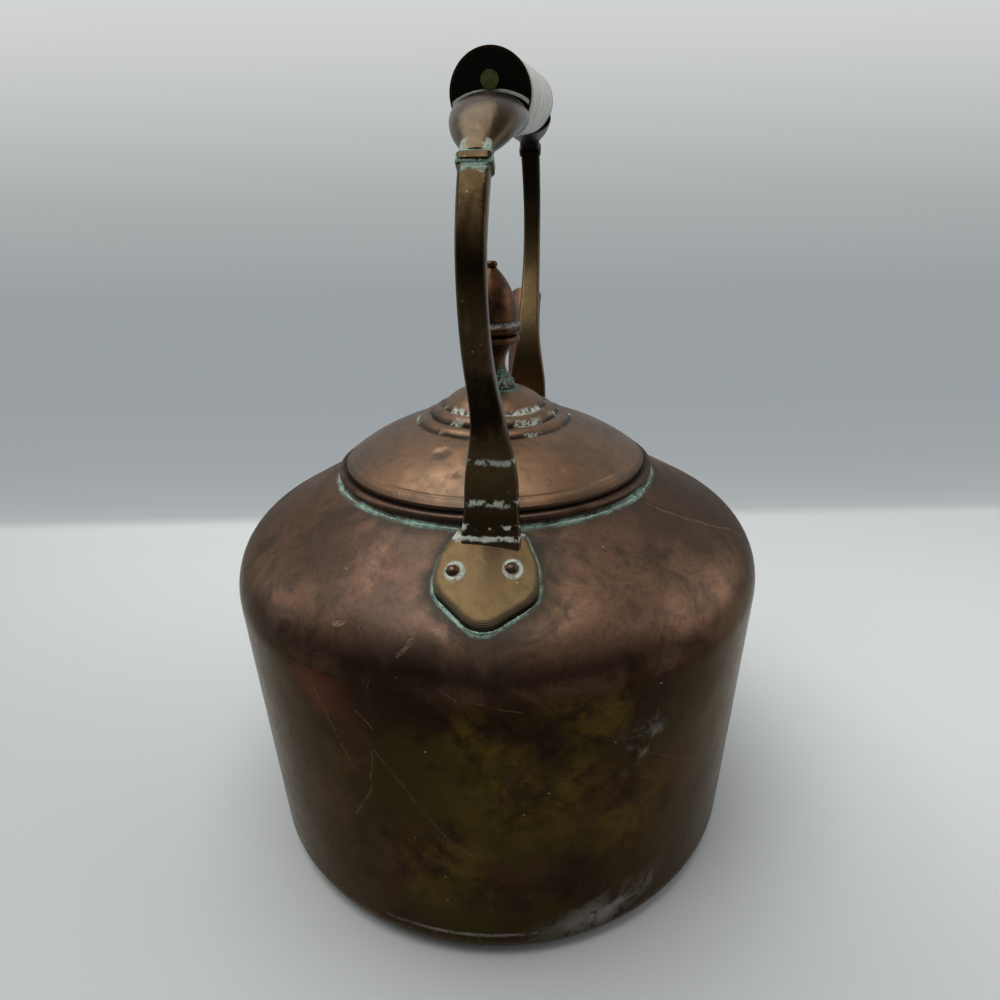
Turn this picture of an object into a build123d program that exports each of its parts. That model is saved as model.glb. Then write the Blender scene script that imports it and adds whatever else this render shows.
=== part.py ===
from build123d import *
import os
from math import atan2, cos, degrees, hypot, pi, radians, sin, sqrt

# Fireside kettle, millimetres, +Z up. Origin: centre of the flat underside of the base.
# +X points from the centre to the spout, -X to the rear upright of the handle.

# Vessel
BASE_R = 105.0            # radius where the wall, carried down, meets the underside
BASE_ROLL = 10.0          # rounding of the bottom edge
WALL_TOP_R = 110.5        # radius where wall and shoulder lines meet
WALL_TOP_Z = 134.5        # height of that corner before it is rounded
SHOULDER_ROLL = 26.0      # rounding of the shoulder
NECK_R = 62.3             # radius where the shoulder meets the collar bead
NECK_Z = 161.2            # height of the shoulder there
SHEET = 1.2               # copper sheet of the vessel
BASE_SEAM_Z = 14.0        # height of the brazed seam between pan and wall
SHOULDER_SEAM_Z = 122.0   # height of the seam between wall and shoulder

# Collar
COLLAR_SKIRT_R = 60.0     # outside of the skirt in the neck hole
COLLAR_SHEET = 1.4
COLLAR_BEAD_R = 65.2      # outside of the bead
COLLAR_TOP_Z = 164.0
COLLAR_DEPTH = 12.0       # skirt length below the top

# Lid
LID_CLEARANCE = 0.3       # between lid and collar, under the rim and round the flange
LID_RIM_R = 61.8
LID_RIM_DROP = 1.6        # height of the upright edge of the rim
LID_SHEET = 1.0
LID_STEP_C_R = 31.3
LID_STEP_C_Z = 180.8
LID_STEP_B_R = 25.8
LID_STEP_B_Z = 183.3
LID_STEP_A_R = 21.0
LID_STEP_A_Z = 186.9
LID_BOSS_R = 9.0
LID_BOSS_Z = 193.8
LID_DOME_SAG = 1.7        # bulge of the dome over a straight cone
LID_BEAD_SAG = 1.1        # bulge of each stepped bead
LID_BOSS_SAG = 1.3
FLANGE_DEPTH = 9.0        # how far the lid flange reaches below the collar top
FLANGE_SHEET = 1.0

# Knob, radius and height above the boss of the lid
KNOB_BASE_R = 8.6
KNOB_BASE_H = 4.2
KNOB_NECK_R = 4.9
KNOB_NECK_H = 10.2
KNOB_CUP_R = 10.9
KNOB_CUP_H = 18.8
KNOB_GROOVE_R = 9.2
KNOB_GROOVE_H = 21.4
KNOB_BEAD_R = 11.8
KNOB_BEAD_H = 25.6
KNOB_BEAD_TOP_H = 27.8
KNOB_ACORN_R = 10.2
KNOB_TIP_H = 46.4
KNOB_BUTTON_R = 2.5
KNOB_BUTTON_H = 48.7
KNOB_STUD_R = 2.5
WASHER_R = 7.0
WASHER_SHEET = 1.2
STUD_PEEN_R = 3.8
STUD_PEEN_H = 1.2

# Handle
HANDLE_OFFSET = -7.9      # the handle stands this far beside the axis, as found
GRIP_R = 12.0
GRIP_SHEET = 1.3
REAR_END_X = 50.1         # face of the rear end disc, distance from the kettle axis
REAR_END_Z = 291.3        # centre height of the rear end disc
FRONT_END_X = 55.0
FRONT_END_Z = 302.0       # the grip slopes up towards the spout, as found
DISC_T = 3.6
SPIGOT_L = 9.0
ROD_R = 2.0
ROD_RISE = 3.6            # the rod sits this far above the grip centre
ROD_PEEN_R = 2.6
ROD_PEEN_T = 0.7
STRAP_T = 5.4             # thickness of an upright seen from the side
BAND_AT = (81.4, 271.4)   # raised band round the neck of the rear upright
BAND_LEAN = 50.0          # its lean from upright, degrees
BAND_WIDTH = 9.9
BAND_DEPTH = 7.4
BAND_LENGTH = 3.4
PLATE_T = 2.6
PLATE_TOP_R = 67.0        # distances from the kettle axis, in plan
PLATE_TOP_HALF = 11.3
PLATE_HIP_R = 77.0
PLATE_HIP_HALF = 16.5
PLATE_WIDE_R = 87.6
PLATE_WIDE_HALF = 17.8
PLATE_TIP_R = 101.8
PLATE_CORNER = 8.0        # rounding of the plate corners in plan
PLATE_TIP_ROUND = 10.0
PLATE_EASE = 1.2          # rounding of the upper edge of the plate
PLATE_EASE_STEPS = 5
EDGE_EASE = 1.4           # rounding of the cast edges of the straps

# centre line of an upright: distance from the kettle axis, height
STRAP_LINE = (
    (73.0, 153.4),
    (68.6, 163.0),
    (66.4, 175.0),
    (66.6, 187.0),
    (70.5, 199.0),
    (79.5, 212.0),
    (88.0, 224.0),
    (92.6, 238.0),
    (92.4, 251.0),
    (87.6, 262.5),
    (81.4, 271.4),
    (76.6, 275.8),
)

# socket lobe from the neck to the end disc: distance, height, lean of the
# section from upright in degrees, half width, half thickness
LOBE_LINE = (
    (79.6, 273.4, 50.0, 4.5, 3.0),
    (77.2, 275.4, 48.0, 4.9, 3.2),
    (73.6, 277.4, 42.0, 6.6, 4.1),
    (69.0, 280.0, 32.0, 8.6, 5.3),
    (62.0, 283.2, 17.0, 10.2, 6.5),
    (55.0, 284.9, 4.0, 11.0, 6.4),
    (48.5, 285.2, 0.0, 11.2, 6.0),
)

# the front upright is the taller one: its neck and end move by these
FRONT_NECK_DX = 2.4
FRONT_NECK_DZ = 15.0
NECK_AT = (79.6, 273.4)
FOOT_Z = 161.0            # the straps are alike below this height

# full width of an upright against height
STRAP_WIDTH = (
    (148.0, 21.5),
    (160.0, 20.0),
    (170.0, 18.2),
    (178.0, 17.6),
    (186.0, 15.2),
    (196.0, 11.8),
    (208.0, 9.6),
    (224.0, 8.4),
    (246.0, 8.0),
    (264.0, 8.4),
    (272.0, 8.6),
    (280.0, 8.8),
)

# Rivets
RIVET_AXIS_R = 80.2       # distance from the kettle axis, in plan
RIVET_PITCH = 18.8
RIVET_SHIFT = 1.6         # the pair stands this far off the middle of the plate
RIVET_SKEW = 1.2          # and one rivet stands this much further out, the other in
RIVET_SHANK_R = 1.5
RIVET_HEAD_R = 2.2
RIVET_HEAD_H = 1.5
ROVE_R = 4.2
ROVE_T = 1.1
ROVE_PEEN_R = 2.3
ROVE_PEEN_H = 0.9

# Spout
SPOUT_SHEET = 1.3
SPOUT_FLANGE_R = 27.0     # foot ring brazed to the wall
SPOUT_FLANGE_T = 1.4

# centre line of the spout: distance from the axis, height, outside radius
SPOUT_LINE = (
    (96.0, 66.0, 22.0),
    (113.0, 73.5, 20.4),
    (128.0, 87.0, 17.4),
    (137.0, 106.0, 14.6),
    (139.6, 128.0, 12.6),
    (137.6, 150.0, 11.0),
    (134.6, 171.0, 9.8),
    (134.6, 190.0, 9.0),
    (139.6, 205.0, 8.6),
    (146.4, 213.4, 8.9),
)


def body_section(grow):
    """Half section of the vessel, moved outwards (or inwards) by grow."""
    pts = [
        (-WALL_TOP_R, WALL_TOP_Z),
        (-BASE_R, 0.0),
        (BASE_R, 0.0),
        (WALL_TOP_R, WALL_TOP_Z),
        (NECK_R, NECK_Z),
        (0.0, NECK_Z + 0.55 * NECK_R),
        (-NECK_R, NECK_Z),
    ]
    whole = make_face(Polyline(*pts, close=True))
    low = [v for v in whole.vertices() if abs(v.Y) < 0.01]
    high = [v for v in whole.vertices() if abs(v.Y - WALL_TOP_Z) < 0.01]
    whole = fillet(low, BASE_ROLL)
    high = [v for v in whole.vertices() if abs(v.Y - WALL_TOP_Z) < 0.01]
    whole = fillet(high, SHOULDER_ROLL)
    if grow:
        whole = offset(whole, amount=grow, kind=Kind.INTERSECTION)
    reach = 4.0 * WALL_TOP_R
    half = whole & Pos(reach / 2.0, 0.0) * Rectangle(reach, 2.0 * reach)
    return half


def spin(section):
    """Turn a section drawn as (radius, height) about the kettle axis."""
    upright = Plane.XZ * section
    return revolve(upright, axis=Axis.Z, revolution_arc=360.0)


def vessel(grow):
    """Solid of revolution of the vessel outline."""
    return spin(body_section(grow))


def slab(low, high, reach):
    """Block between two heights, wide enough for the whole kettle."""
    block = Box(2.0 * reach, 2.0 * reach, high - low)
    return Pos(0.0, 0.0, (low + high) / 2.0) * block


def shoulder_slope():
    """Rise of the shoulder per millimetre towards the axis."""
    return (NECK_Z - WALL_TOP_Z) / (WALL_TOP_R - NECK_R)


def shoulder_frame(x, y):
    """Plane on the outside of the shoulder at a plan position, Z outwards."""
    r = hypot(x, y)
    slope = shoulder_slope()
    z = NECK_Z + (NECK_R - r) * slope
    scale = 1.0 / sqrt(1.0 + slope * slope)
    normal = Vector(x / r * slope * scale, y / r * slope * scale, scale)
    tangent = Vector(-y / r, x / r, 0.0)
    return Plane(origin=(x, y, z), x_dir=tangent, z_dir=normal)


def neck_hole():
    """Cylinder that opens the top of the vessel for the collar."""
    return Pos(0.0, 0.0, NECK_Z) * Cylinder(COLLAR_SKIRT_R, 120.0)


def rivet_points(side):
    """Plan positions of the two rivets of one upright."""
    half = RIVET_PITCH / 2.0
    middle = HANDLE_OFFSET + RIVET_SHIFT
    low = (side * (RIVET_AXIS_R - RIVET_SKEW), middle - half)
    high = (side * (RIVET_AXIS_R + RIVET_SKEW), middle + half)
    return [low, high]


def rivet_shanks(side):
    """Plain shanks, also used to cut the rivet holes."""
    shanks = []
    for x, y in rivet_points(side):
        shanks.append(shoulder_frame(x, y) * Cylinder(RIVET_SHANK_R, 30.0))
    return shanks


def spout_planes():
    """Planes square to the spout centre line with their outside radii."""
    planes = []
    count = len(SPOUT_LINE)
    for i in range(count):
        x, z, r = SPOUT_LINE[i]
        before = SPOUT_LINE[max(i - 1, 0)]
        after = SPOUT_LINE[min(i + 1, count - 1)]
        lean = Vector(after[0] - before[0], 0.0, after[1] - before[1])
        planes.append((Plane(origin=(x, 0.0, z), x_dir=(0, 1, 0), z_dir=lean), r))
    return planes


def spout_body(thin):
    """Solid of the spout, its radius reduced by thin."""
    rings = []
    for plane, r in spout_planes():
        rings.append(plane * Circle(r - thin))
    return loft(rings)


def spout_bore():
    """Inside of the spout, carried past both ends."""
    bore = spout_body(SPOUT_SHEET)
    planes = spout_planes()
    tip, r_tip = planes[-1]
    root, r_root = planes[0]
    bore += tip * Pos(0.0, 0.0, 2.0) * Cylinder(r_tip - SPOUT_SHEET, 4.0)
    bore += root * Pos(0.0, 0.0, -5.0) * Cylinder(r_root - SPOUT_SHEET, 10.0)
    return bore


def build_vessel():
    """Pan, wall and shoulder of the vessel, butted at two seams."""
    shell = vessel(0.0) - vessel(-SHEET)
    top = NECK_Z + NECK_R
    reach = 2.0 * WALL_TOP_R
    base = shell & slab(-1.0, BASE_SEAM_Z, reach)
    wall = shell & slab(BASE_SEAM_Z, SHOULDER_SEAM_Z, reach)
    shoulder = shell & slab(SHOULDER_SEAM_Z, top, reach)
    wall = wall - spout_bore()
    shoulder = shoulder - neck_hole()
    for side in (-1, 1):
        for shank in rivet_shanks(side):
            shoulder = shoulder - shank
    return base, wall, shoulder


def build_collar():
    """Turned ring in the neck: skirt inside, bead standing on the shoulder."""
    inside = COLLAR_SKIRT_R - COLLAR_SHEET
    bead_h = COLLAR_TOP_Z - NECK_Z
    skirt = Pos((inside + COLLAR_SKIRT_R) / 2.0, COLLAR_TOP_Z - COLLAR_DEPTH / 2.0)
    section = skirt * Rectangle(COLLAR_SHEET, COLLAR_DEPTH)
    web_r = COLLAR_BEAD_R - bead_h / 2.0
    web = Pos((inside + web_r) / 2.0, COLLAR_TOP_Z - bead_h / 2.0 - 0.6)
    section += web * Rectangle(web_r - inside, bead_h + 1.2)
    section += Pos(web_r, COLLAR_TOP_Z - bead_h / 2.0) * Circle(bead_h / 2.0)
    ring = spin(section)
    solid_shoulder = vessel(0.0) - neck_hole()
    return ring - solid_shoulder


def lid_curve(drop):
    """Edges of the lid outline from the rim to the boss, lowered by drop."""
    rim_z = COLLAR_TOP_Z + LID_CLEARANCE + LID_RIM_DROP
    rim = (LID_RIM_R, rim_z - drop)
    c = (LID_STEP_C_R, LID_STEP_C_Z - drop)
    b = (LID_STEP_B_R, LID_STEP_B_Z - drop)
    a = (LID_STEP_A_R, LID_STEP_A_Z - drop)
    boss = (LID_BOSS_R, LID_BOSS_Z - drop)
    edges = []
    for low, high, sag in (
        (rim, c, LID_DOME_SAG),
        (c, b, LID_BEAD_SAG),
        (b, a, LID_BEAD_SAG),
        (a, boss, LID_BOSS_SAG),
    ):
        edges.append(ThreePointArc(low, bulge(low, high, sag), high))
    return edges


def bulge(low, high, sag):
    """Middle of two points, pushed up and outwards by sag."""
    dr = high[0] - low[0]
    dz = high[1] - low[1]
    span = hypot(dr, dz)
    return ((low[0] + high[0]) / 2.0 + sag * dz / span, (low[1] + high[1]) / 2.0 - sag * dr / span)


def under_curve(drop, floor):
    """Section between the lid outline lowered by drop and a floor height."""
    rim_z = COLLAR_TOP_Z + LID_CLEARANCE + LID_RIM_DROP - drop
    edges = lid_curve(drop)
    edges.append(Line((LID_BOSS_R, LID_BOSS_Z - drop), (0.0, LID_BOSS_Z - drop)))
    edges.append(Line((0.0, LID_BOSS_Z - drop), (0.0, floor)))
    edges.append(Line((0.0, floor), (LID_RIM_R, floor)))
    edges.append(Line((LID_RIM_R, floor), (LID_RIM_R, rim_z)))
    return make_face(edges)


def build_lid():
    """Raised lid sheet and the flange that drops into the collar."""
    floor = COLLAR_TOP_Z + LID_CLEARANCE
    outer = under_curve(0.0, floor)
    hollow = under_curve(LID_SHEET, floor - 5.0)
    hollow = hollow & Pos(0.0, floor) * Rectangle(2.0 * (LID_RIM_R - LID_SHEET), 200.0)
    dome = spin(outer - hollow) - Pos(0.0, 0.0, LID_BOSS_Z) * Cylinder(KNOB_STUD_R, 20.0)

    outside = COLLAR_SKIRT_R - COLLAR_SHEET - LID_CLEARANCE
    low = COLLAR_TOP_Z - FLANGE_DEPTH
    high = LID_STEP_C_Z
    band = Pos(outside - FLANGE_SHEET / 2.0, (low + high) / 2.0)
    flange = band * Rectangle(FLANGE_SHEET, high - low)
    flange = spin(flange & under_curve(LID_SHEET, low - 1.0))
    return dome, flange


def build_knob():
    """Cast acorn knob with its stud, and the washer under the lid."""
    z = LID_BOSS_Z
    under = z - LID_SHEET
    washer_low = under - WASHER_SHEET
    peen_low = washer_low - STUD_PEEN_H
    base_top = z + KNOB_BASE_H
    neck = z + KNOB_NECK_H
    cup = z + KNOB_CUP_H
    groove = z + KNOB_GROOVE_H
    bead = z + KNOB_BEAD_H
    bead_top = z + KNOB_BEAD_TOP_H
    acorn_r = KNOB_ACORN_R
    tip = z + KNOB_TIP_H
    top = z + KNOB_BUTTON_H
    edges = [
        Line((0.0, peen_low), (STUD_PEEN_R * 0.7, peen_low)),
        Line((STUD_PEEN_R * 0.7, peen_low), (STUD_PEEN_R, washer_low)),
        Line((STUD_PEEN_R, washer_low), (KNOB_STUD_R, washer_low)),
        Line((KNOB_STUD_R, washer_low), (KNOB_STUD_R, z)),
        Line((KNOB_STUD_R, z), (KNOB_BASE_R - 0.4, z)),
        ThreePointArc(
            (KNOB_BASE_R - 0.4, z),
            (KNOB_BASE_R, z + KNOB_BASE_H * 0.45),
            (KNOB_BASE_R - 1.6, base_top),
        ),
        ThreePointArc(
            (KNOB_BASE_R - 1.6, base_top),
            (KNOB_NECK_R + 0.35, z + KNOB_NECK_H * 0.72),
            (KNOB_NECK_R, neck),
        ),
        ThreePointArc(
            (KNOB_NECK_R, neck),
            (KNOB_NECK_R + 2.1, neck + (cup - neck) * 0.62),
            (KNOB_CUP_R, cup),
        ),
        ThreePointArc(
            (KNOB_CUP_R, cup),
            (KNOB_CUP_R - 0.2, (cup + groove) / 2.0),
            (KNOB_GROOVE_R, groove),
        ),
        ThreePointArc(
            (KNOB_GROOVE_R, groove),
            (KNOB_BEAD_R, (groove + bead) / 2.0),
            (KNOB_GROOVE_R + 0.9, bead),
        ),
        Line((KNOB_GROOVE_R + 0.9, bead), (acorn_r, bead_top)),
        ThreePointArc(
            (acorn_r, bead_top),
            (acorn_r * 0.72, bead_top + (tip - bead_top) * 0.60),
            (KNOB_BUTTON_R * 0.8, tip),
        ),
        ThreePointArc(
            (KNOB_BUTTON_R * 0.8, tip),
            (KNOB_BUTTON_R, (tip + top) / 2.0),
            (KNOB_BUTTON_R * 0.3, top),
        ),
        Line((KNOB_BUTTON_R * 0.3, top), (0.0, top)),
        Line((0.0, top), (0.0, peen_low)),
    ]
    knob = spin(make_face(edges))
    disc = Cylinder(WASHER_R, WASHER_SHEET) - Cylinder(KNOB_STUD_R, 2.0 * WASHER_SHEET)
    washer = Pos(0.0, 0.0, under - WASHER_SHEET / 2.0) * disc
    return knob, washer


def moved(x, z, side):
    """A place on the rear upright, moved to where it is on the given side."""
    if side < 0:
        return x, z
    if x >= NECK_AT[0] or z <= NECK_AT[1]:
        share = max(0.0, (z - FOOT_Z) / (NECK_AT[1] - FOOT_Z))
        return x + share * FRONT_NECK_DX, z + share * FRONT_NECK_DZ
    share = (NECK_AT[0] - x) / (NECK_AT[0] - REAR_END_X)
    dx = FRONT_NECK_DX + share * (FRONT_END_X - REAR_END_X - FRONT_NECK_DX)
    dz = FRONT_NECK_DZ + share * (FRONT_END_Z - REAR_END_Z - FRONT_NECK_DZ)
    return x + dx, z + dz


def strap_sides(side):
    """The two side curves of an upright, each half a thickness off the line."""
    near = []
    far = []
    line = [moved(r, z, side) for r, z in STRAP_LINE]
    count = len(line)
    for i in range(count):
        r, z = line[i]
        before = line[max(i - 1, 0)]
        after = line[min(i + 1, count - 1)]
        dr = after[0] - before[0]
        dz = after[1] - before[1]
        span = hypot(dr, dz)
        half = STRAP_T / 2.0
        near.append((r - half * dz / span, z + half * dr / span))
        far.append((r + half * dz / span, z - half * dr / span))
    return near, far


def build_strap(side):
    """Strap of one upright, standing on the +X side."""
    near, far = strap_sides(side)
    edges = [
        Spline(*near),
        Line(near[-1], far[-1]),
        Spline(*far),
        Line(far[0], near[0]),
    ]
    profile = extrude(Plane.XZ * make_face(edges), amount=20.0, both=True)
    widths = [(w, moved(NECK_AT[0], z, side)[1]) for z, w in STRAP_WIDTH]
    right = [(w / 2.0, z) for w, z in widths]
    left = [(-w / 2.0, z) for w, z in widths]
    outline = [
        Spline(*right),
        Line(right[-1], left[-1]),
        Spline(*left),
        Line(left[0], right[0]),
    ]
    front = extrude(Plane.YZ * make_face(outline), amount=160.0)
    strap = profile & front
    try:
        strap = fillet(strap.edges().filter_by(lambda e: e.length > 60.0), EDGE_EASE)
    except Exception:
        strap = profile & front
    return strap


def build_lobe(side):
    """Swelling between the neck of an upright and the end disc."""
    rings = []
    slope = degrees(grip_slope()) * side
    for x, z, lean, half_w, half_t in LOBE_LINE:
        share = min(1.0, (NECK_AT[0] - x) / (NECK_AT[0] - REAR_END_X))
        turn = radians(lean - share * slope)
        px, pz = moved(x, z, side)
        along = Vector(-cos(turn), 0.0, sin(turn))
        plane = Plane(origin=(px, 0.0, pz), x_dir=(0, 1, 0), z_dir=along)
        rings.append(plane * Ellipse(half_w, half_t))
    return loft(rings)


def build_band(side):
    """Raised band round the neck of an upright."""
    lean = radians(BAND_LEAN)
    along = Vector(-cos(lean), 0.0, sin(lean))
    px, pz = moved(BAND_AT[0], BAND_AT[1], side)
    plane = Plane(origin=(px, 0.0, pz), x_dir=(0, 1, 0), z_dir=along)
    section = RectangleRounded(BAND_WIDTH, BAND_DEPTH, 0.25 * BAND_DEPTH)
    band = extrude(plane * section, amount=BAND_LENGTH / 2.0, both=True)
    return chamfer(band.edges().group_by(SortBy.LENGTH)[-1], 0.2 * BAND_LENGTH)


def grip_slope():
    """Slope of the grip, radians, rising towards +X."""
    return atan2(FRONT_END_Z - REAR_END_Z, FRONT_END_X + REAR_END_X)


def grip_length():
    """Length of the grip over both end discs."""
    return hypot(FRONT_END_X + REAR_END_X, FRONT_END_Z - REAR_END_Z)


def grip_end(side):
    """Plane on the face of an end disc, Z outwards, in the kettle frame."""
    turn = grip_slope()
    out = Vector(side * cos(turn), 0.0, side * sin(turn))
    x = FRONT_END_X if side > 0 else -REAR_END_X
    z = FRONT_END_Z if side > 0 else REAR_END_Z
    return Plane(origin=(x, HANDLE_OFFSET, z), x_dir=(0, 1, 0), z_dir=out)


def rod_shift(side):
    """The rod's place on the face of an end disc, above its centre."""
    return Pos(0.0, side * ROD_RISE, 0.0)


def plate_outline(inset):
    """Shield-shaped plan of the foot plate on the +X side, drawn in by inset."""
    corners = [
        (PLATE_TOP_R, PLATE_TOP_HALF),
        (PLATE_HIP_R, PLATE_HIP_HALF),
        (PLATE_WIDE_R, PLATE_WIDE_HALF),
        (PLATE_TIP_R, 0.0),
        (PLATE_WIDE_R, -PLATE_WIDE_HALF),
        (PLATE_HIP_R, -PLATE_HIP_HALF),
        (PLATE_TOP_R, -PLATE_TOP_HALF),
    ]
    face = make_face(Polyline(*corners, close=True))
    sides = [v for v in face.vertices() if PLATE_HIP_R - 1.0 < v.X < PLATE_WIDE_R + 1.0]
    face = fillet(sides, PLATE_CORNER)
    tip = [v for v in face.vertices() if v.X > PLATE_TIP_R - 0.3]
    face = fillet(tip, PLATE_TIP_ROUND)
    if inset:
        face = offset(face, amount=-inset)
    return Pos(0.0, 0.0, SHOULDER_SEAM_Z) * face


def build_plate(side):
    """Foot plate seated on the shoulder, its upper edge rounded in fine steps."""
    plate = None
    for i in range(PLATE_EASE_STEPS + 1):
        turn = 0.5 * pi * i / PLATE_EASE_STEPS
        inset = PLATE_EASE * (1.0 - cos(turn))
        thick = PLATE_T - PLATE_EASE * (1.0 - sin(turn))
        prism = extrude(plate_outline(inset), amount=WALL_TOP_Z)
        if side < 0:
            prism = mirror(prism, about=Plane.YZ)
        prism = Pos(0.0, HANDLE_OFFSET, 0.0) * prism
        layer = prism & (vessel(thick) - vessel(0.0))
        plate = layer if plate is None else plate + layer
    return plate


def build_upright(side):
    """Cast upright: foot plate, strap, socket, end disc and spigot in one piece."""
    cast = build_strap(side) + build_band(side) + build_lobe(side)
    if side < 0:
        cast = mirror(cast, about=Plane.YZ)
    cast = Pos(0.0, HANDLE_OFFSET, 0.0) * cast
    end = grip_end(side)
    reach = 4.0 * GRIP_R
    cast = cast - end * Pos(0.0, 0.0, -DISC_T - reach) * Cylinder(reach, 2.0 * reach)
    disc = end * Pos(0.0, 0.0, -DISC_T / 2.0) * Cylinder(GRIP_R, DISC_T)
    spigot_mid = -DISC_T - SPIGOT_L / 2.0
    spigot = end * Pos(0.0, 0.0, spigot_mid) * Cylinder(GRIP_R - GRIP_SHEET, SPIGOT_L)
    cast = (cast + disc) + spigot
    foot = cast - vessel(PLATE_T * 0.5)
    whole = foot + build_plate(side)
    whole = whole - end * rod_shift(side) * Cylinder(ROD_R, 4.0 * SPIGOT_L)
    for shank in rivet_shanks(side):
        whole = whole - shank
    return whole


def slab_x(low, high):
    """Block between two distances along X."""
    return Pos((low + high) / 2.0, 0.0, 200.0) * Box(high - low, 400.0, 600.0)


def build_grip():
    """Tube of the grip and the rod that ties both uprights together."""
    end = grip_end(1)
    length = grip_length() - 2.0 * DISC_T
    tube = Cylinder(GRIP_R, length) - Cylinder(GRIP_R - GRIP_SHEET, 2.0 * length)
    tube = end * Pos(0.0, 0.0, -grip_length() / 2.0) * tube
    rod = Cylinder(ROD_R, grip_length())
    for tip in (-1, 1):
        head = Cylinder(ROD_PEEN_R, ROD_PEEN_T)
        rod += Pos(0.0, 0.0, tip * (grip_length() + ROD_PEEN_T) / 2.0) * head
    rod = end * rod_shift(1) * Pos(0.0, 0.0, -grip_length() / 2.0) * rod
    return tube, rod


def build_rivets(side):
    """Domed rivets through plate and shoulder, with roves on the inside."""
    heads = []
    roves = []
    outer = vessel(PLATE_T)
    inner = vessel(-SHEET)
    for x, y in rivet_points(side):
        frame = shoulder_frame(x, y)
        dome_r = (RIVET_HEAD_R ** 2 + RIVET_HEAD_H ** 2) / (2.0 * RIVET_HEAD_H)
        ball = Pos(0.0, 0.0, PLATE_T + RIVET_HEAD_H - dome_r) * Sphere(dome_r)
        ball = ball & Pos(0.0, 0.0, PLATE_T + 9.5) * Box(40.0, 40.0, 20.0)
        head = frame * ball - outer
        low = -(SHEET + ROVE_T)
        shank_l = PLATE_T - low + 1.0
        shank = frame * Pos(0.0, 0.0, low + shank_l / 2.0) * Cylinder(RIVET_SHANK_R, shank_l)
        peen = Pos(0.0, 0.0, low - ROVE_PEEN_H / 2.0) * Cylinder(ROVE_PEEN_R, ROVE_PEEN_H)
        heads.append(head + shank + frame * peen)
        ring = Cylinder(ROVE_R, ROVE_T + 0.6) - Cylinder(RIVET_SHANK_R, 4.0 * ROVE_T)
        rove = frame * Pos(0.0, 0.0, low + (ROVE_T + 0.6) / 2.0) * ring
        roves.append(rove & inner)
    return Compound(children=heads), Compound(children=roves)


def build_spout():
    """Swan-neck spout and the foot ring brazed to the wall round its root."""
    bore = spout_bore()
    body = vessel(0.0)
    tube = spout_body(0.0) - bore - body
    root = Plane(origin=(BASE_R, 0.0, SPOUT_LINE[0][1] + 4.0), x_dir=(0, 1, 0), z_dir=(1, 0, 0))
    disc = root * Cylinder(SPOUT_FLANGE_R, 60.0)
    ring = disc & (vessel(SPOUT_FLANGE_T) - body)
    ring = ring & slab_x(0.5 * BASE_R, 2.0 * BASE_R)
    ring = ring - spout_body(0.0)
    return tube, ring


def save(name, shape):
    """Write one part as a STEP file."""
    export_step(shape, f"parts/{name}.step")


def main():
    os.makedirs("parts", exist_ok=True)
    base, wall, shoulder = build_vessel()
    dome, flange = build_lid()
    knob, washer = build_knob()
    tube, rod = build_grip()
    spout, ring = build_spout()
    rear_rivets, rear_roves = build_rivets(-1)
    front_rivets, front_roves = build_rivets(1)
    save("body_base", base)
    save("body_wall", wall)
    save("body_shoulder", shoulder)
    save("neck_collar", build_collar())
    save("spout_tube", spout)
    save("spout_foot_ring", ring)
    save("rear_upright", build_upright(-1))
    save("front_upright", build_upright(1))
    save("handle_grip", tube)
    save("handle_tie_rod", rod)
    save("rear_rivets", rear_rivets)
    save("front_rivets", front_rivets)
    save("rear_rivet_roves", rear_roves)
    save("front_rivet_roves", front_roves)
    save("lid_dome", dome)
    save("lid_flange", flange)
    save("lid_knob", knob)
    save("knob_washer", washer)


main()
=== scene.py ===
"""Fireside kettle: worn copper, dark cast brass and residue in the joints, on a plain studio stage."""

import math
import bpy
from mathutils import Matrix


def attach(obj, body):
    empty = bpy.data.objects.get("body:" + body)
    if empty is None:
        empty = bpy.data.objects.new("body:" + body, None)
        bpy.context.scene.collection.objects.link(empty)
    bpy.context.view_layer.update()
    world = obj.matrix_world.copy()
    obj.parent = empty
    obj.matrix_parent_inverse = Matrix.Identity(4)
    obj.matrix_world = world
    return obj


bl_info = {
    "name": "Fireside Kettle",
    "version": (1, 0, 0),
    "blender": (4, 5, 0),
    "location": "View3D > Sidebar > Kettle",
    "description": "Dresses the packed fireside kettle and sets its plain stage",
    "category": "Add Mesh",
}

import bmesh
import bpy
from bpy.props import FloatProperty, FloatVectorProperty, IntProperty, PointerProperty
from bpy.types import Operator, Panel, PropertyGroup
from mathutils import Matrix, Vector

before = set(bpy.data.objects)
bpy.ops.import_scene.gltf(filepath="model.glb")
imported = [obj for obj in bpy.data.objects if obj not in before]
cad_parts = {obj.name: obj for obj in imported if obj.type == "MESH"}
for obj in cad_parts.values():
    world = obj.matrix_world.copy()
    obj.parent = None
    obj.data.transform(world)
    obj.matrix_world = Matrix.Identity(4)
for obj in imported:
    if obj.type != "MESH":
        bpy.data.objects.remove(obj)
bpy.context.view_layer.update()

MM = 0.001

# Sizes of the kettle that the pieces and the marks follow, in millimetres.
BODY_R = 108.0
COLLAR_BEAD_R = 65.2
NECK_R, NECK_Z = 62.3, 161.2
SHOULDER_EDGE_R, SHOULDER_EDGE_Z = 110.5, 134.5
SHOULDER_SLOPE = (NECK_Z - SHOULDER_EDGE_Z) / (SHOULDER_EDGE_R - NECK_R)
PAN_SEAM_Z = 12.6
HANDLE_Y = -7.9
REAR_END = (-50.1, 291.3)
FRONT_END = (55.0, 302.0)
FRONT_NECK_RISE = 15.0
LID_STEP_RADII = (31.3, 25.8, 21.0)
BOSS_Z = 193.8

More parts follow.
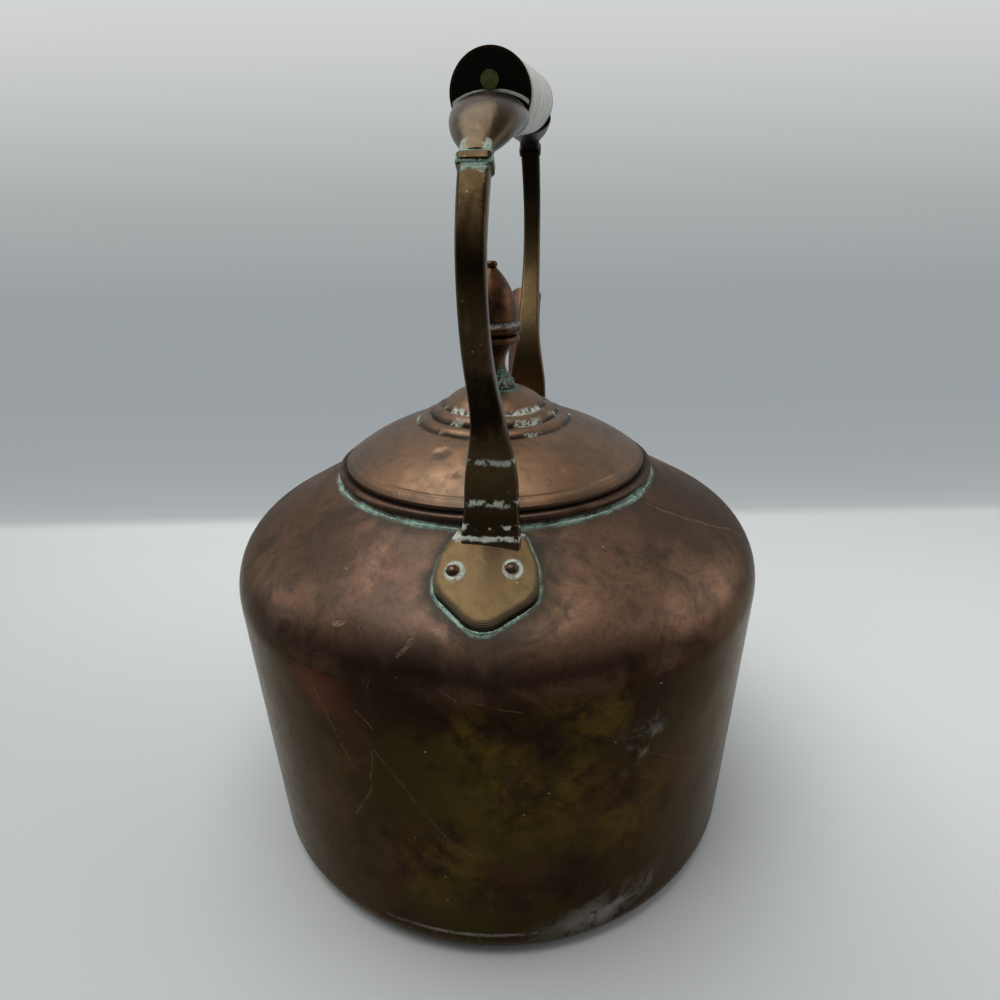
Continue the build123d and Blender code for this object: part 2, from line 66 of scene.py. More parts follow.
# Foot plate: half of its outline as (outward, sideways), and its rivets as (outward, y).
PLATE_SIDE = (
    (67.0, 11.3), (77.0, 16.5), (83.0, 17.2), (87.0, 16.6),
    (90.6, 14.05), (97.2, 5.8), (99.0, 2.6), (99.3, 0.0),
)
RIVETS = ((79.0, -15.7), (81.4, 3.1))
STAIN_OFF = (1.4, 0.7)

# Pale arch where the socket meets an end disc, measured from the grip's axis.
ARCH_HALF_WIDTH, ARCH_HEIGHT, ARCH_DROP = 11.2, 6.0, 6.1

# Pale lines across the foot of an upright as (height, width, how broken).
FOOT_LINES = ((159.6, 1.1, 0.30), (163.4, 1.6, 0.53), (171.2, 1.7, 0.42), (185.2, 1.7, 0.42))

# Dents in the lid.
LID_DENT = (-38.0, 14.6, 177.1)
LID_SLIGHT_DENT = (-40.9, -29.4, 173.1)

# Golden clouds on the wall as ((round, height), size).
GOLD_SPOTS = (
    ((26.0, 84.0), 40.0),
    ((8.0, 108.0), 18.0),
    ((44.0, 114.0), 24.0),
    ((-6.0, 46.0), 30.0),
    ((62.0, 66.0), 30.0),
)

# Long marks by part as ((round, height), (round, height), width), round being the way from the rear.
LONG_MARKS = {
    "wall": (
        ((-40.0, 131.0), (-12.0, 127.0), 0.40),
        ((-12.0, 127.0), (22.0, 118.0), 0.35),
        ((-54.0, 127.0), (-46.0, 104.0), 0.40),
        ((-46.0, 104.0), (-37.0, 84.0), 0.40),
        ((-29.0, 96.0), (-31.0, 78.0), 0.40),
        ((-31.0, 78.0), (-40.0, 62.0), 0.40),
        ((-28.0, 97.0), (-4.0, 62.0), 0.38),
        ((-4.0, 62.0), (8.0, 52.0), 0.34),
        ((-33.0, 112.0), (-27.0, 106.0), 0.50),
        ((66.0, 90.0), (92.0, 72.0), 0.30),
    ),
    "shoulder": (
        ((-44.0, 137.5), (-40.5, 138.5), 0.9),
        ((-17.5, 134.0), (-14.0, 137.5), 1.0),
        ((118.0, 157.0), (150.0, 141.0), 0.50),
        ((150.0, 141.0), (158.0, 134.0), 0.40),
    ),
}

# Residue beads: where a plate's outline starts, margins and spacings in millimetres, and the bead's section.
RESIDUE_START = (70.0, 13.0)
RESIDUE_STEP = 0.8
RESIDUE_MARGIN = 0.3
RING_MARGIN = 0.1
RING_PLACES = 360
BEAD_STEP = 0.7
BEAD_SIDES = 10
BEAD_THINNEST = 0.12

# Material of each part of the vessel as (node, material, part).
VESSEL = (
    ("body_base", "base_copper", "base"),
    ("body_wall", "wall_copper", "wall"),
    ("body_shoulder", "shoulder_copper", "shoulder"),
    ("neck_collar", "collar_copper", "collar"),
    ("spout_tube", "spout_copper", "spout"),
    ("spout_foot_ring", "spout_ring_copper", "ring"),
)

# Stage: the camera's place and directions, the backdrop's painted light and shade by height, and sizes in
# metres.
CAMERA_PLACE = Vector((-0.27807, -0.03908, 0.2604))
CAMERA_RIGHT = Vector((0.12576, -0.9919, -0.01768))
CAMERA_UP = Vector((0.38414, 0.03226, 0.92271))
CAMERA_AHEAD = Vector((0.91468, 0.12283, -0.38508))
BACKDROP_HEIGHT = 0.42
BACKDROP_STOPS = (
    (0.0, "b4b8ba"), (0.013, "afb4b6"), (0.049, "a7acae"), (0.118, "a0a5a8"),
    (0.268, "999fa2"), (0.463, "999fa1"), (0.638, "a9adae"), (0.765, "bcbfbf"),
    (0.855, "c9cbcb"), (0.926, "d0d2d2"), (1.0, "d6d8d8"),
)
SWEEP_REACH = 3.0
SWEEP_TOP = 1.4
SWEEP_BEND = 0.012
BEND_STEPS = 8
FLOOR_REACH = 4.0
FLOOR_DROP = 0.0005


def tone(code):
    """Linear colour of a display code such as 8a5f4a."""
    parts = [int(code[i : i + 2], 16) / 255.0 for i in (0, 2, 4)]
    return tuple(c / 12.92 if c <= 0.04045 else ((c + 0.055) / 1.055) ** 2.4 for c in parts)


class Net:
    """Builds a node tree from plain expressions."""

    def __init__(self, tree):
        self.tree = tree

    def node(self, kind, **settings):
        """New node with its settings."""
        made = self.tree.nodes.new(kind)
        for key, value in settings.items():
            setattr(made, key, value)
        return made

    def plug(self, value, socket):
        """Links a socket to an input, or sets the input to a plain value or colour."""
        if isinstance(value, bpy.types.NodeSocket):
            self.tree.links.new(value, socket)
        elif socket.type == "RGBA" and len(value) == 3:
            socket.default_value = (*value, 1.0)
        else:
            socket.default_value = value

    def math(self, op, a, b=0.0, c=0.0, clamp=False):
        """One step of arithmetic on numbers."""
        made = self.node("ShaderNodeMath", operation=op, use_clamp=clamp)
        for value, socket in zip((a, b, c), made.inputs):
            self.plug(value, socket)
        return made.outputs[0]

    def vector(self, op, a, b=(0.0, 0.0, 0.0), scale=None):
        """One step of arithmetic on vectors; a length or distance comes back as a number."""
        made = self.node("ShaderNodeVectorMath", operation=op)
        self.plug(a, made.inputs[0])
        if scale is None:
            self.plug(b, made.inputs[1])
        else:
            self.plug(scale, made.inputs["Scale"])
        return made.outputs["Value" if op in ("LENGTH", "DOT_PRODUCT", "DISTANCE") else "Vector"]

    def split(self, v):
        """The x, y and z of a vector."""
        made = self.node("ShaderNodeSeparateXYZ")
        self.plug(v, made.inputs[0])
        return made.outputs

    def join(self, x, y, z=0.0):
        """Vector from x, y and z."""
        made = self.node("ShaderNodeCombineXYZ")
        for value, socket in zip((x, y, z), made.inputs):
            self.plug(value, socket)
        return made.outputs[0]

    def noise(self, v, size, detail=3.0, rough=0.55, warp=0.0):
        """Soft noise whose features are about size across, in the units of v."""
        made = self.node("ShaderNodeTexNoise")
        self.plug(v, made.inputs["Vector"])
        self.plug(1.0 / size, made.inputs["Scale"])
        self.plug(detail, made.inputs["Detail"])
        self.plug(rough, made.inputs["Roughness"])
        self.plug(warp, made.inputs["Distortion"])
        return made.outputs[0]

    def cells(self, v, size):
        """Distance to the nearest of scattered points, in cells."""
        made = self.node("ShaderNodeTexVoronoi")
        self.plug(v, made.inputs["Vector"])
        self.plug(1.0 / size, made.inputs["Scale"])
        return made.outputs[0]

    def step(self, value, low, high, out_low=0.0, out_high=1.0):
        """Smooth step from out_low at low to out_high at high."""
        made = self.node("ShaderNodeMapRange", interpolation_type="SMOOTHSTEP")
        for item, socket in zip((value, low, high, out_low, out_high), made.inputs):
            self.plug(item, socket)
        return made.outputs[0]

    def mix(self, amount, a, b):
        """Mix of two colours."""
        made = self.node("ShaderNodeMix", data_type="RGBA")
        self.plug(amount, made.inputs[0])
        self.plug(a, made.inputs[6])
        self.plug(b, made.inputs[7])
        return made.outputs[2]

    def blend(self, amount, a, b):
        """Mix of two plain numbers."""
        made = self.node("ShaderNodeMix", data_type="FLOAT")
        self.plug(amount, made.inputs[0])
        self.plug(a, made.inputs[2])
        self.plug(b, made.inputs[3])
        return made.outputs[0]

    def shaders(self, amount, a, b):
        """Mix of two shader nodes; returns the node."""
        made = self.node("ShaderNodeMixShader")
        for value, socket in zip((amount, a.outputs[0], b.outputs[0]), made.inputs):
            self.plug(value, socket)
        return made

    def most(self, *values):
        """The greatest of the values."""
        out = values[0]
        for value in values[1:]:
            out = self.math("MAXIMUM", out, value)
        return out

    def times(self, *values):
        """The product of the values."""
        out = values[0]
        for value in values[1:]:
            out = self.math("MULTIPLY", out, value)
        return out

    def stray(self, value, field, amount):
        """Value moved up and down by a noise field, over a span of amount."""
        return self.math("ADD", value, self.math("MULTIPLY", self.math("SUBTRACT", field, 0.5), amount))

    def near(self, value, centre, width):
        """One at centre, falling to nothing a width away."""
        gap = self.math("ABSOLUTE", self.math("SUBTRACT", value, centre))
        return self.step(gap, 0.0, width, 1.0, 0.0)

    def bump(self, height, distance, strength=1.0, under=None):
        """Normal of a relief whose full height is distance millimetres, over another if given."""
        made = self.node("ShaderNodeBump")
        self.plug(strength, made.inputs["Strength"])
        self.plug(distance * MM, made.inputs["Distance"])
        self.plug(height, made.inputs["Height"])
        if under is not None:
            self.plug(under, made.inputs["Normal"])
        return made.outputs[0]


def new_material(name):
    """Empty material with its shader; returns material, net, shader and place in millimetres."""
    mat = bpy.data.materials.new(name)
    mat.use_nodes = True
    mat.node_tree.nodes.clear()
    net = Net(mat.node_tree)
    shader = net.node("ShaderNodeBsdfPrincipled")
    out = net.node("ShaderNodeOutputMaterial")
    mat.node_tree.links.new(shader.outputs[0], out.inputs[0])
    coords = net.node("ShaderNodeTexCoord")
    place = net.vector("SCALE", coords.outputs["Object"], scale=1000.0)
    return mat, net, shader, place


class Coat:
    """Colour, metalness and roughness of a surface, built up in layers."""

    def __init__(self, net, colour, metal, rough):
        self.net, self.colour, self.metal, self.rough = net, colour, metal, rough

    def lay(self, amount, colour=None, metal=None, rough=None):
        """Covers what is there by an amount, in colour, metalness and roughness as given."""
        if colour is not None:
            over = tone(colour) if isinstance(colour, str) else colour
            self.colour = self.net.mix(amount, self.colour, over)
        if metal is not None:
            self.metal = self.net.blend(amount, self.metal, metal)
        if rough is not None:
            self.rough = self.net.blend(amount, self.rough, rough)

    def finish(self, shader, reliefs):
        """Connects the shader; reliefs are bumps as (height, depth in millimetres, strength)."""
        normal = None
        for height, depth, strength in reliefs:
            normal = self.net.bump(height, depth, strength, normal)
        given = {"Base Color": self.colour, "Metallic": self.metal, "Roughness": self.rough, "Normal": normal}
        for socket, value in given.items():
            self.net.plug(value, shader.inputs[socket])


def round_place(net, place):
    """Place on the vessel: radius, way round from the rear in mm, height."""
    x, y, z = net.split(place)
    radius = net.math("SQRT", net.math("ADD", net.math("MULTIPLY", x, x), net.math("MULTIPLY", y, y)))
    angle = net.math("ARCTAN2", net.math("MULTIPLY", y, -1.0), net.math("MULTIPLY", x, -1.0))
    return radius, net.math("MULTIPLY", angle, BODY_R), z


def line_mark(net, spot, a, b, width):
    """Thin line between two places given as (round, height)."""
    start = (a[0], a[1], 0.0)
    run = (b[0] - a[0], b[1] - a[1], 0.0)
    length2 = run[0] ** 2 + run[1] ** 2
    off = net.vector("SUBTRACT", spot, start)
    along = net.math("DIVIDE", net.vector("DOT_PRODUCT", off, run), length2, clamp=True)
    foot = net.vector("SCALE", run, scale=along)
    gap = net.vector("LENGTH", net.vector("SUBTRACT", off, foot))
    return net.step(gap, width * 0.35, width, 1.0, 0.0)


def plate_gap(net, place):
    """Distance outside the outline of a foot plate in plan; negative inside."""
    x, y, _ = net.split(place)
    out = net.math("ABSOLUTE", x)
    side = net.math("ABSOLUTE", net.math("SUBTRACT", y, HANDLE_Y))
    gap = net.math("SUBTRACT", PLATE_SIDE[0][0], out)
    for (x0, y0), (x1, y1) in zip(PLATE_SIDE, PLATE_SIDE[1:]):
        span = math.hypot(x1 - x0, y1 - y0)
        nx, ny = -(y1 - y0) / span, (x1 - x0) / span
        level = net.math("ADD", net.math("MULTIPLY", out, nx), net.math("MULTIPLY", side, ny))
        gap = net.math("MAXIMUM", gap, net.math("SUBTRACT", level, nx * x0 + ny * y0))
    return gap


def rivet_gap(net, place):
    """Distance in plan from the middle of the nearer stain round a rivet."""
    x, y, _ = net.split(place)
    spot = net.join(net.math("ABSOLUTE", x), y)
    off_r, off_y = STAIN_OFF
    gaps = [net.vector("DISTANCE", spot, (r + off_r, across - off_y, 0.0)) for r, across in RIVETS]
    return net.math("MINIMUM", *gaps)


def grip_place(net, place):
    """Distance in from the nearer end face of the grip, and height above its axis."""
    x, _, z = net.split(place)
    run, rise = FRONT_END[0] - REAR_END[0], FRONT_END[1] - REAR_END[1]
    length = math.hypot(run, rise)
    dx, dz = net.math("SUBTRACT", x, REAR_END[0]), net.math("SUBTRACT", z, REAR_END[1])
    cosine, sine = run / length, rise / length
    along = net.math("ADD", net.math("MULTIPLY", dx, cosine), net.math("MULTIPLY", dz, sine))
    above = net.math("SUBTRACT", net.math("MULTIPLY", dz, cosine), net.math("MULTIPLY", dx, sine))
    return net.math("MINIMUM", along, net.math("SUBTRACT", length, along)), above


def fine_scratches(net, place, upright, size, thin, spread, low, high):
    """Hairline scratches that wander: level lines of a stretched noise, in some places only."""
    field = net.noise(net.vector("MULTIPLY", place, (1.0, 1.0, upright)), size, 2.0, 0.5, 0.4)
    gap = net.math("ABSOLUTE", net.math("SUBTRACT", field, 0.5))
    where = net.step(net.noise(place, spread, 2.0), low, high)
    return net.times(net.step(gap, 0.0, thin, 1.0, 0.0), where)


def specks(net, place, size, small, large, spread, low, high):
    """Scattered specks, in some places only."""
    dots = net.step(net.cells(place, size), small, large, 1.0, 0.0)
    return net.times(dots, net.step(net.noise(place, spread), low, high))


def long_scratches(net, place, spot, marks):
    """Long thin marks at their own places, a little bent and broken."""
    other = net.vector("ADD", place, (31.0, 7.0, 3.0))
    bends = [net.math("SUBTRACT", net.noise(field, 8.0, 3.0), 0.5) for field in (place, other)]
    bent = net.vector("ADD", spot, net.vector("SCALE", net.join(*bends), scale=3.2))
    drawn = net.most(*[line_mark(net, bent, a, b, width) for a, b, width in marks])
    return net.times(drawn, net.step(net.noise(place, 4.0, 3.0, 0.6), 0.36, 0.54))


def residue_colour(net, fine, broad):
    """Grey green of the residue: dark and earthy in places, pale in others."""
    green = net.mix(net.step(fine, 0.36, 0.56), tone("4a6558"), tone("9ab8a8"))
    return net.mix(net.step(broad, 0.46, 0.64, 0.0, 0.6), green, tone("3f4236"))


def wall_clouds_and_reflection(net, coat, place, round_mm, height, look):
    """Dark band high on the wall, a painted reflection of the dark room; and olive, golden and reddish
    clouds, strongest on the side seen.
    """
    # painted reflection: a dark band high on the wall, just under the shoulder, where the wall mirrors the
    # dark room
    coat.lay(net.times(net.step(height, 126.0, 116.0), net.step(height, 88.0, 112.0), 0.6), "150e09")
    patch = net.noise(place, 30.0, 4.0, 0.6, 0.5)
    low = net.step(height, 126.0, 96.0)
    away = net.math("ABSOLUTE", net.math("SUBTRACT", round_mm, 18.0))
    middle = net.step(away, 12.0, 62.0, 1.0, 0.0)
    coat.lay(net.times(net.step(patch, 0.36, 0.60), low, net.blend(middle, 0.35, 0.95)), look.olive)

    bits = net.noise(place, 14.0, 6.0, 0.70, 0.3)
    spot = net.join(round_mm, height)
    covers = []
    for (across, level), wide in GOLD_SPOTS:
        spread = net.vector("DISTANCE", spot, (across, level, 0.0))
        covers.append(net.step(spread, wide * 0.2, wide, 1.0, 0.0))
    coat.lay(net.times(net.most(*covers), net.step(bits, 0.40, 0.66), 0.75), "574418")
    coat.lay(net.step(bits, 0.46, 0.30, 0.0, 0.6), "1a100b")
    coat.lay(net.times(net.step(bits, 0.56, 0.70), net.step(patch, 0.55, 0.40), 0.5), "4a2c1e")
    red = net.times(net.near(round_mm, -52.0, 26.0), net.near(height, 112.0, 30.0))
    coat.lay(net.times(red, net.step(patch, 0.64, 0.40), 0.7), "5a3024")


def wall_pale(net, coat, place, round_mm, height):
    """Grey smear low on the wall, a pale patch and the line at the pan seam; returns their relief."""
    ragged = net.noise(place, 3.2, 5.0, 0.7, 0.6)
    soft = net.noise(place, 9.0, 4.0, 0.6, 0.8)
    curve = net.math("ADD", 15.0, net.math("MULTIPLY", net.math("SUBTRACT", round_mm, 50.0), 0.22))
    smear = net.times(net.near(height, curve, 12.0), net.near(round_mm, 54.0, 34.0))
    smear = net.times(smear, net.step(soft, 0.36, 0.62), 1.2)
    dots = net.times(net.near(round_mm, 64.5, 13.0), net.near(height, 95.0, 13.0))
    dots = net.times(dots, net.step(soft, 0.44, 0.66), net.step(ragged, 0.36, 0.60))
    seam = net.times(net.near(height, PAN_SEAM_Z, 1.3), net.near(round_mm, 2.0, 46.0))
    seam = net.times(seam, net.step(ragged, 0.36, 0.56), 1.3)
    foot = net.times(net.near(height, 8.0, 6.0), net.step(ragged, 0.50, 0.72), 0.4)
    pale = net.math("MINIMUM", net.most(smear, dots, seam, foot), 1.0)
    coat.lay(net.times(pale, 0.7), "86817b")
    coat.lay(net.times(pale, 0.8), metal=0.1, rough=0.62)
    return net.times(pale, ragged)


def shoulder_residue(net, coat, place, radius, round_mm, height, cloud):
    """Green residue round the collar and the foot plates, with soil round the plates and a painted shadow
    round the collar; returns its relief.
    """
    ragged = net.noise(place, 2.6, 5.0, 0.68, 0.4)
    patchy = net.step(net.noise(place, 15.0, 3.0, 0.6), 0.38, 0.56, 0.25, 1.0)
    ring = net.math("SUBTRACT", radius, COLLAR_BEAD_R)
    crust = net.times(net.step(net.stray(ring, ragged, 5.0), 0.4, 1.7, 1.0, 0.0), patchy)
    gap = plate_gap(net, place)
    halo = net.step(net.stray(gap, ragged, 2.4), 0.7, 1.6, 1.0, 0.0)
    halo = net.times(halo, net.step(gap, -1.5, -0.5), patchy)
    x, y, _ = net.split(place)
    at_plates = net.step(net.math("ABSOLUTE", x), 58.0, 66.0)
    reach = net.step(y, 2.0, -16.0, 7.0, 13.0)
    grime = net.times(net.step(net.stray(gap, cloud, 10.0), 0.5, reach, 0.85, 0.0), at_plates)

    warm = net.times(net.near(round_mm, 34.0, 34.0), net.near(height, 150.0, 12.0))
    coat.lay(net.times(warm, net.step(cloud, 0.40, 0.60), 0.6), "7c6340")
    # soil round the plates, and a dark ring just outside the collar that is painted shade under its residue
    soil_and_shade = net.most(grime, net.step(net.stray(ring, cloud, 8.0), 0.5, 6.0, 0.6, 0.0))
    coat.lay(soil_and_shade, "231f17", metal=0.35, rough=0.60)
    residue = net.most(crust, net.times(halo, at_plates))
    coat.lay(residue, residue_colour(net, ragged, cloud), metal=0.0, rough=0.92)
    return net.times(residue, ragged)


def copper_material(name, look, part):
    """Old sheet copper: brown oxide, rubbed places, mottling, scratches and residue."""
    mat, net, shader, place = new_material(name)
    radius, round_mm, height = round_place(net, place)
    cloud = net.noise(place, 17.0, 4.0, 0.6, 0.9)
    mottle = net.noise(place, 7.0, 4.0, 0.62, 0.5)
    on_wall = part in ("wall", "base")

    # the shoulder's colours give way to the wall's below an uneven line
    lower = 0.0
    if on_wall or part == "shoulder":
        lower = net.step(net.stray(height, cloud, 16.0), 139.0, 119.0)
    rubbed = net.mix(lower, look.rubbed, look.wall_rubbed)
    brown = net.mix(lower, look.brown, look.wall_brown)
    if part == "spout":
        rubbed, brown = tone("8a6449"), tone("5c4433")
    broad = net.noise(place, 52.0, 3.0, 0.55, 0.6)
    wear = net.step(net.blend(0.45, broad, cloud), 0.44, 0.66)
    coat = Coat(net, net.mix(wear, brown, rubbed), net.blend(wear, 0.80, 0.96), net.blend(wear, 0.42, 0.33))
    coat.lay(lower, metal=0.97, rough=0.25)
    coat.lay(net.step(cloud, 0.50, 0.68, 0.0, 0.45), look.plum)
    coat.lay(net.step(mottle, 0.50, 0.76, 0.0, 0.28), look.dark)
    coat.lay(net.step(net.noise(place, 1.6, 4.0, 0.7), 0.44, 0.70, 0.0, 0.30), look.dark)

    if on_wall:
        wall_clouds_and_reflection(net, coat, place, round_mm, height, look)
        pale_relief = wall_pale(net, coat, place, round_mm, height)

    # short bright hairlines, and the long scratches that the photograph shows
    hair = fine_scratches(net, place, 0.35, 16.0, 0.0035, 9.0, 0.54, 0.66)
    reliefs = [
        (net.noise(place, 34.0, 2.0, 0.45), 1.3, 0.55),
        (net.noise(place, 9.0, 2.0, 0.5), 0.16, 0.6),
        (net.noise(place, 0.8, 3.0, 0.65), 0.03, 0.5),
        (net.math("MULTIPLY", hair, -1.0), 0.04, 0.5),
    ]
    if part in LONG_MARKS:
        marks = long_scratches(net, place, net.join(round_mm, height), LONG_MARKS[part])
        coat.lay(net.times(marks, net.blend(lower, 0.5, 0.28)), "7d6858")
        reliefs.append((net.math("MULTIPLY", marks, -1.0), 0.18, 0.7))
    coat.lay(net.times(hair, 0.16 if on_wall else 0.30), "8d7464")
    coat.lay(net.times(specks(net, place, 7.5, 0.035, 0.055, 20.0, 0.48, 0.60), 0.6), "a59a8c")

    if part == "shoulder":
        relief = shoulder_residue(net, coat, place, radius, round_mm, height, cloud)
        reliefs.append((relief, 0.5, 0.8))
    if part == "collar":
        # painted shade: the collar's inner part under the lid's rim is painted near black; elsewhere the
        # cloud noise gives dark mottling
        under = net.most(net.step(radius, 64.3, 62.8), net.step(cloud, 0.40, 0.62, 0.0, 0.6))
        coat.lay(net.times(under, 0.9), "17120d")
    if on_wall:
        reliefs.append((pale_relief, 0.15, 0.6))
    coat.rough = net.stray(coat.rough, mottle, 0.22)
    net.plug((0.72, 0.66, 0.60), shader.inputs["Specular Tint"])
    coat.finish(shader, reliefs)
    return mat


def lid_material(name, look):
    """Lid sheet: lighter, more rubbed copper, with residue in the creases."""
    mat, net, shader, place = new_material(name)
    radius = round_place(net, place)[0]
    broad = net.noise(place, 30.0, 3.0, 0.55, 0.5)
    cloud = net.noise(place, 11.0, 4.0, 0.6, 0.8)
    mottle = net.noise(place, 4.0, 4.0, 0.62)
    ragged = net.noise(place, 1.9, 5.0, 0.7, 0.4)
    wear = net.step(net.blend(0.5, broad, cloud), 0.36, 0.62)
    copper = net.mix(wear, look.brown, look.rubbed)
    coat = Coat(net, copper, net.blend(wear, 0.78, 0.92), net.blend(wear, 0.44, 0.36))
    coat.lay(net.step(mottle, 0.54, 0.74, 0.0, 0.5), look.dark)

    # the creases of the steps and a ring at the boss are painted darker, with residue over it
    creases = net.most(*[net.near(radius, r, 1.5) for r in LID_STEP_RADII])
    boss = net.near(radius, 9.4, 2.4)
    coat.lay(net.times(net.math("MAXIMUM", creases, boss), 0.85), "1c1611")
    steps = net.most(
        net.near(radius, 21.0, 2.2),
        net.times(net.near(radius, 25.8, 1.9), 0.85),
        net.times(net.near(radius, 31.4, 1.4), 0.6),
    )
    patchy = net.step(net.noise(place, 14.0, 2.0), 0.50, 0.60)
    pale = net.math("MINIMUM", net.times(steps, net.step(ragged, 0.42, 0.54), patchy, 1.3), 1.0)
    coat.lay(pale, "b3b7a9")
    green = net.times(boss, net.step(ragged, 0.40, 0.58))
    coat.lay(green, "66867a")
    crust = net.most(pale, green)
    coat.lay(crust, metal=0.0, rough=0.9)
    # painted shade: the lid's outer edge is painted darker, for the dark gap over the collar
    coat.lay(net.times(net.step(radius, 59.6, 61.2), 0.6), "3a2a20")
    coat.lay(net.times(fine_scratches(net, place, 0.4, 12.0, 0.004, 8.0, 0.52, 0.64), 0.35), "a08064")
    coat.lay(net.times(specks(net, place, 6.5, 0.04, 0.06, 15.0, 0.46, 0.60), 0.7), "3a2a22")

    deep = net.step(net.vector("DISTANCE", place, LID_DENT), 0.0, 4.6, 1.0, 0.0)
    slight = net.step(net.vector("DISTANCE", place, LID_SLIGHT_DENT), 0.0, 3.0, 1.0, 0.0)
    hollow = net.most(deep, net.times(slight, 0.2))
    coat.rough = net.stray(coat.rough, mottle, 0.2)
    coat.finish(shader, [
        (net.noise(place, 20.0, 2.0, 0.45), 0.9, 0.55),
        (net.math("MULTIPLY", hollow, -1.0), 0.75, 1.0),
        (net.noise(place, 6.0, 2.0, 0.5), 0.12, 0.6),
        (net.math("MULTIPLY", net.near(radius, 58.8, 0.9), -1.0), 0.25, 0.8),
        (net.noise(place, 0.7, 3.0, 0.65), 0.03, 0.5),
        (net.times(crust, ragged), 0.3, 0.8),
    ])
    return mat


def pale_lines(net, height, out, blotch, ragged):
    """Broken pale lines across the foot of an upright."""
    lines = []
    for level, width, gaps in FOOT_LINES:
        line = net.near(net.stray(height, blotch, 3.0), level, width)
        lines.append(net.times(line, net.step(blotch, gaps, gaps + 0.10), 1.6))
    outer = net.step(out, 64.0, 67.0)
    return net.math("MINIMUM", net.times(net.most(*lines), net.step(ragged, 0.30, 0.50), outer), 1.0)


def brass_material(name, look):
    """Dark cast brass of the uprights: golden where rubbed, painted near black on the end discs as a painted
    reflection of the dark room.
    """
    mat, net, shader, place = new_material(name)
    x, y, z = net.split(place)
    front = net.step(x, -1.0, 1.0)
    out = net.math("ABSOLUTE", x)
    cloud = net.noise(place, 14.0, 4.0, 0.6, 0.6)
    mottle = net.noise(place, 3.5, 4.0, 0.65)
    ragged = net.noise(place, 1.4, 4.0, 0.7, 0.4)
    blotch = net.noise(place, 4.5, 3.0, 0.6)

    # rubbed on the plate, the lobe under the disc and in streaks; the front's top is painted near black as
    # painted shade
    gap = plate_gap(net, place)
    low = net.step(z, 160.0, 157.6)
    rear_z = net.math("SUBTRACT", z, net.math("MULTIPLY", front, FRONT_NECK_RISE))
    lobe = net.step(rear_z, 273.5, 276.5)
    streak = net.noise(net.vector("MULTIPLY", place, (1.0, 1.0, 0.18)), 5.0, 4.0, 0.6)
    golden = net.most(
        net.times(low, 0.42),
        net.times(lobe, net.step(cloud, 0.40, 0.62), 0.25),
        net.step(streak, 0.46, 0.70, 0.0, 0.36),
        net.times(net.step(z, 196.0, 180.0), 0.34),
        net.times(front, 0.62),
    )
    coat = Coat(net, net.mix(golden, look.cast, look.golden), 0.9, net.blend(golden, 0.28, 0.38))
    # painted shade: the upper part of the front upright is painted near black
    coat.lay(net.times(front, net.step(z, 244.0, 270.0), 0.9), "12100b")
    coat.lay(net.step(mottle, 0.46, 0.78, 0.0, 0.4), "2a2113")
    coat.lay(net.times(low, net.step(gap, -3.0, -9.0), 0.35), "4a3a2a")
    coat.lay(net.times(net.step(gap, -2.2, -0.4), net.step(z, 168.0, 158.0), 0.8), "1f1a12")

    # residue round the rivets, across the foot and under the ridge of the neck
    ring = net.near(rivet_gap(net, place), 2.7, 1.1)
    ring = net.times(ring, net.step(z, 166.0, 158.0), net.step(ragged, 0.34, 0.50))
    residue = net.most(ring, pale_lines(net, z, out, blotch, ragged))
    slope = net.math("MULTIPLY", net.math("SUBTRACT", out, 83.4), 0.84)
    ridge = net.near(net.stray(net.math("ADD", rear_z, slope), blotch, 2.4), 273.0, 0.9)
    band = net.times(ridge, net.step(out, 78.0, 80.0), net.step(ragged, 0.34, 0.50))
    band = net.math("MINIMUM", net.times(band, net.blend(front, 1.5, 0.5)), 1.0)
    coat.lay(residue, "b7bcb0")
    coat.lay(net.times(band, 0.9), "8eac9c")

    # end discs: painted near black, a painted reflection of the dark room, with a pale crescent where the
    # socket starts
    inward, above = grip_place(net, place)
    face = net.near(inward, 0.0, 0.8)
    side = net.math("SUBTRACT", y, HANDLE_Y)
    across = net.math("DIVIDE", side, ARCH_HALF_WIDTH)
    up = net.math("DIVIDE", net.math("ADD", above, ARCH_DROP), ARCH_HEIGHT)
    arch = net.vector("LENGTH", net.join(across, up))
    within = net.step(net.vector("LENGTH", net.join(side, above)), 11.6, 11.1)
    disc = net.times(face, net.step(arch, 1.0, 1.04), within)
    coat.lay(net.times(disc, 0.94), "14120f")
    crescent = net.times(net.near(arch, 1.17, 0.09), face, within, net.step(ragged, 0.22, 0.36), 2.2)
    crescent = net.math("MINIMUM", crescent, 1.0)
    coat.lay(crescent, "b9bcb3")

    crust = net.most(residue, band, crescent)
    coat.lay(crust, metal=0.05, rough=0.9)
    coat.lay(net.times(disc, 0.6), rough=0.5)
    coat.lay(net.times(specks(net, place, 3.0, 0.06, 0.10, 9.0, 0.50, 0.62), 0.5), "b09a72")
    coat.rough = net.stray(coat.rough, mottle, 0.25)
    coat.finish(shader, [
        (net.noise(place, 5.0, 3.0, 0.5), 0.22, 0.6),
        (net.noise(place, 0.6, 3.0, 0.7), 0.05, 0.6),
        (net.times(crust, ragged), 0.35, 0.8),
    ])
    return mat


